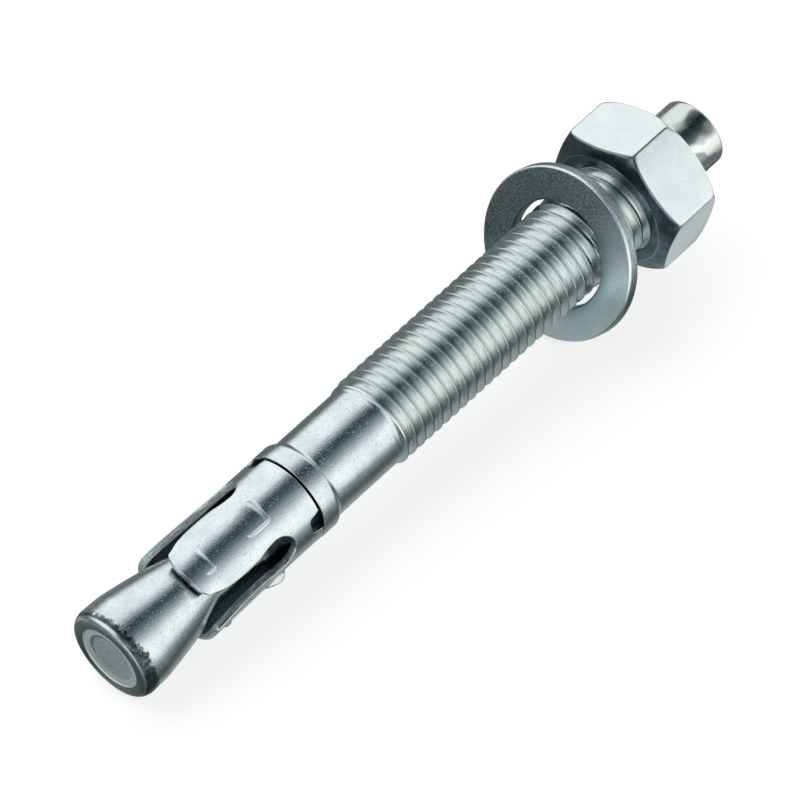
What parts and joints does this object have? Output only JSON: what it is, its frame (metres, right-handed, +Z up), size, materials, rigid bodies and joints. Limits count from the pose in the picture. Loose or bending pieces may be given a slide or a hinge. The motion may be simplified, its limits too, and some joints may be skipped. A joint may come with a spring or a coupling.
{
  "type": "wedge anchor",
  "caption": "Through-bolt wedge anchor lying on its side: cone-ended bolt, expansion clip, tilted washer and hex nut.",
  "frame": {"origin": "bottom centre of the box around the lying anchor, on the table", "axes": "+X from the cone end to the threaded end, level with the table, +Z up"},
  "size_m": [0.1716, 0.0366, 0.0359],
  "materials": {
    "zinc_bolt": "cold-formed steel, bright zinc plated",
    "zinc_clip": "pressed steel sheet, bright zinc plated",
    "zinc_washer": "punched steel, duller zinc plating",
    "zinc_nut": "forged steel, bright zinc plated"
  },
  "bodies": {
    "bolt": {"anchor_bolt": "zinc_bolt"},
    "clip": {"expansion_clip": "zinc_clip"},
    "washer": {"flat_washer": "zinc_washer"},
    "nut": {"hex_nut": "zinc_nut"}
  },
  "joints": [
    {"name": "clip_turn", "type": "hinge", "parent": "bolt", "child": "clip", "pos_m": [-0.05179, 0, 0.01192], "axis": [0.9983, 0, 0.059], "continuous": true},
    {"name": "washer_slide", "type": "slide", "parent": "bolt", "child": "washer", "axis": [0.9983, 0, 0.059], "range_m": [-0.0688, 0.00692]},
    {"name": "nut_turn", "type": "hinge", "parent": "washer", "child": "nut", "pos_m": [0.0665, 0, 0.01891], "axis": [0.9983, 0, 0.059], "range_deg": [-9900, 990]}
  ],
  "couplings": [
    {"joint": "washer_slide", "follows": "nut_turn", "m_per_rad": 0.00039789}
  ]
}
